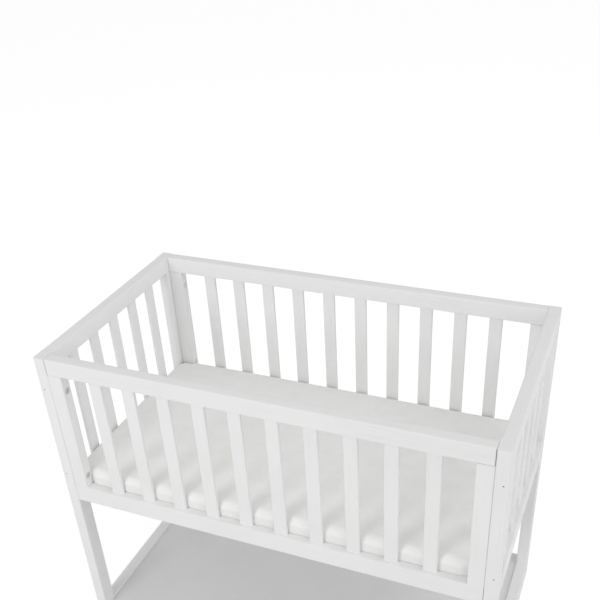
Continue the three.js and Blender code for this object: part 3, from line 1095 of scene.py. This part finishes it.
    def settle(self, cover: bpy.types.Object) -> None:
        """Keeps the cover off the board, the rails, the slats, the stiles and the posts.

        Args:
            cover: The shaped cover.
        """
        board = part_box("mattress_base_board")[1].z + self.clearance
        seat = self.seat()
        core = self.core()
        reach = self.reach()
        panel = self.panel_uprights()
        end = self.end_uprights()
        for vertex in cover.data.vertices:
            co = vertex.co
            co.z = max(co.z, board)
            if co.z < seat and (abs(co.x) > core.x or abs(co.y) > core.y):
                if co.z > seat - self.seat_snap:
                    co.z = seat
                else:
                    co.x = max(-core.x, min(core.x, co.x))
                    co.y = max(-core.y, min(core.y, co.y))
            limit_x = self.allowed(co.y, end, reach.x)
            limit_y = self.allowed(co.x, panel, reach.y)
            co.x = max(-limit_x, min(limit_x, co.x))
            co.y = max(-limit_y, min(limit_y, co.y))

    def build(self) -> bpy.types.Object:
        """Returns:
            The mattress.
        """
        cover = self.cover()
        self.inflate(cover)
        self.press_out(cover)
        self.dent(cover)
        self.settle(cover)
        for face in cover.data.polygons:
            face.use_smooth = True
        cover.data.materials.append(self.finish.material(self.top_height - self.upper_edge))
        smooth = cover.modifiers.new("soft_faces", "SUBSURF")
        smooth.levels = 1
        smooth.render_levels = 1
        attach(cover, "mattress")
        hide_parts("mattress")
        LOG.info("sewed %s with %d faces", cover.name, len(cover.data.polygons))
        return cover


@dataclass(frozen=True)
class Softbox:
    """A square soft lamp: where it hangs, its side in metres and its power in watts."""

    name: str
    place: tuple[float, float, float]
    side: float
    power: float


@dataclass
class Studio:
    """A pale floor, an even sky of white light and soft lamps, as for a catalogue picture."""

    floor: str = "#e2e2e2"
    floor_half: float = 40.0
    floor_lift: float = 0.5
    # The sky's level and how it changes towards the right, the back and the top: brightest low in front
    sky_level: float = 0.808
    sky_slope: tuple[float, float, float] = (0.096, -0.0696, -0.264)
    sky_mirrored: float = 0.8
    softboxes: tuple[Softbox, ...] = (
        Softbox("front_left", (-0.92, -2.53, 1.71), 0.9, 16.9),
        Softbox("right", (3.35, -1.93, 1.43), 1.6, 10.6),
        Softbox("above_right", (2.57, 0.0, 3.46), 1.6, 18.2),
    )

    def lay_floor(self) -> None:
        """Lays the floor, which looks white to the camera and still takes the crib's shadow."""
        mesh = bpy.data.meshes.new("floor")
        h = self.floor_half
        mesh.from_pydata([(-h, -h, 0), (h, -h, 0), (h, h, 0), (-h, h, 0)], [], [(0, 1, 2, 3)])
        floor = bpy.data.objects.new("floor", mesh)
        bpy.context.scene.collection.objects.link(floor)
        material, tree = new_material("pale_floor")
        path = add_node(tree, "ShaderNodeLightPath")
        seen = add_node(
            tree,
            "ShaderNodeMath",
            {"operation": "MAXIMUM"},
            {0: path.outputs["Is Camera Ray"], 1: path.outputs["Is Glossy Ray"]},
        )
        lift = add_node(
            tree,
            "ShaderNodeMath",
            {"operation": "MULTIPLY", 1: self.floor_lift},
            {0: seen.outputs[0]},
        )
        matt = add_node(tree, "ShaderNodeBsdfDiffuse", {"Color": linear(self.floor)})
        glow = add_node(tree, "ShaderNodeEmission", links={"Strength": lift.outputs[0]})
        both = add_node(tree, "ShaderNodeAddShader", links={0: matt.outputs[0], 1: glow.outputs[0]})
        add_node(tree, "ShaderNodeOutputMaterial", links={"Surface": both.outputs[0]})
        floor.data.materials.append(material)
        floor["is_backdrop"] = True

    def light_sky(self) -> None:
        """Sets a sky that shows at full white, and lights the crib and is mirrored at lower levels."""
        world = bpy.data.worlds.new("white_sky")
        bpy.context.scene.world = world
        world.use_nodes = True
        tree = world.node_tree
        tree.nodes.clear()
        path = add_node(tree, "ShaderNodeLightPath")
        glossy = add_node(
            tree,
            "ShaderNodeMath",
            {"operation": "MAXIMUM"},
            {0: path.outputs["Is Camera Ray"], 1: path.outputs["Is Glossy Ray"]},
        )
        seen = add_node(
            tree,
            "ShaderNodeMath",
            {"operation": "MAXIMUM"},
            {0: glossy.outputs[0], 1: path.outputs["Is Transmission Ray"]},
        )
        way = add_node(tree, "ShaderNodeTexCoord")
        slope = add_node(
            tree,
            "ShaderNodeVectorMath",
            {"operation": "DOT_PRODUCT", 1: self.sky_slope},
            {0: way.outputs["Generated"]},
        )
        level = add_node(
            tree,
            "ShaderNodeMath",
            {"operation": "ADD", 1: self.sky_level},
            {0: slope.outputs["Value"]},
        )
        shown = add_node(
            tree,
            "ShaderNodeMapRange",
            {"To Min": self.sky_mirrored, "To Max": 1.0},
            {"Value": path.outputs["Is Camera Ray"]},
        )
        strength = add_node(
            tree,
            "ShaderNodeMapRange",
            links={"Value": seen.outputs[0], "To Min": level.outputs[0], "To Max": shown.outputs[0]},
        )
        sky = add_node(
            tree,
            "ShaderNodeBackground",
            {"Color": linear("#ffffff")},
            {"Strength": strength.outputs[0]},
        )
        add_node(tree, "ShaderNodeOutputWorld", links={"Surface": sky.outputs[0]})

    def hang(self, softbox: Softbox, target: Vector) -> None:
        """Hangs a softbox that faces a point.

        Args:
            softbox: The softbox.
            target: The point that it faces.
        """
        lamp = bpy.data.lights.new(softbox.name, "AREA")
        lamp.shape = "SQUARE"
        lamp.size = softbox.side
        lamp.energy = softbox.power
        holder = bpy.data.objects.new(softbox.name, lamp)
        holder.location = softbox.place
        holder.rotation_euler = (target - holder.location).to_track_quat("-Z", "Y").to_euler()
        bpy.context.scene.collection.objects.link(holder)

    def build(self) -> None:
        """Lays the floor and sets the sky and the lamps."""
        self.lay_floor()
        self.light_sky()
        low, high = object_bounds()
        middle = (low + high) / 2
        for softbox in self.softboxes:
            self.hang(softbox, middle)
        LOG.info("lit the studio")


@dataclass
class Viewpoint:
    """The photograph's camera, in metres, radians and the pixels of its 600 by 600 frame."""

    place: tuple[float, float, float] = (0.6225, -1.3822, 1.6365)
    yaw: float = 0.424
    pitch: float = -0.597
    roll: float = 0.059
    focal_px: float = 859.04
    centre_px: tuple[float, float] = (305.6, 398.7)
    frame_px: float = 600.0
    sensor_mm: float = 36.0

    def build(self) -> None:
        """Makes the camera and gives it to the scene."""
        forward = Vector((
            -math.sin(self.yaw) * math.cos(self.pitch),
            math.cos(self.yaw) * math.cos(self.pitch),
            math.sin(self.pitch),
        ))
        level = Vector((math.cos(self.yaw), math.sin(self.yaw), 0))
        sunk = forward.cross(level)
        right = math.cos(self.roll) * level + math.sin(self.roll) * sunk
        down = -math.sin(self.roll) * level + math.cos(self.roll) * sunk
        lens = bpy.data.cameras.new("camera")
        lens.sensor_width = self.sensor_mm
        lens.lens = self.focal_px / self.frame_px * self.sensor_mm
        lens.shift_x = (self.frame_px / 2 - self.centre_px[0]) / self.frame_px
        lens.shift_y = (self.centre_px[1] - self.frame_px / 2) / self.frame_px
        camera = bpy.data.objects.new("camera", lens)
        axes = Matrix((right, -down, -forward)).transposed()
        camera.matrix_world = Matrix.Translation(self.place) @ axes.to_4x4()
        bpy.context.scene.collection.objects.link(camera)
        bpy.context.scene.camera = camera
        LOG.info("set the camera")


def main() -> None:
    """Dresses the crib, lights it and sets the view."""
    logging.basicConfig(level=logging.INFO)
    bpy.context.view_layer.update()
    bpy.context.scene.view_settings.view_transform = "Standard"
    Viewpoint().build()
    Timber(SatinLacqueredBeech(), Arris(width=0.18 * MM), Arris(width=0.15 * MM)).dress()
    Boards(PaintedFibreboard(), Arris(width=0.2 * MM)).dress()
    PanelBolts(NickelPlatedSteel(), Arris(width=0.2 * MM)).dress()
    NutPins(PhosphatedSteel()).build()
    FoamMattress(WovenPolycotton()).build()
    Studio().build()


if __name__ == "__main__":
    main()
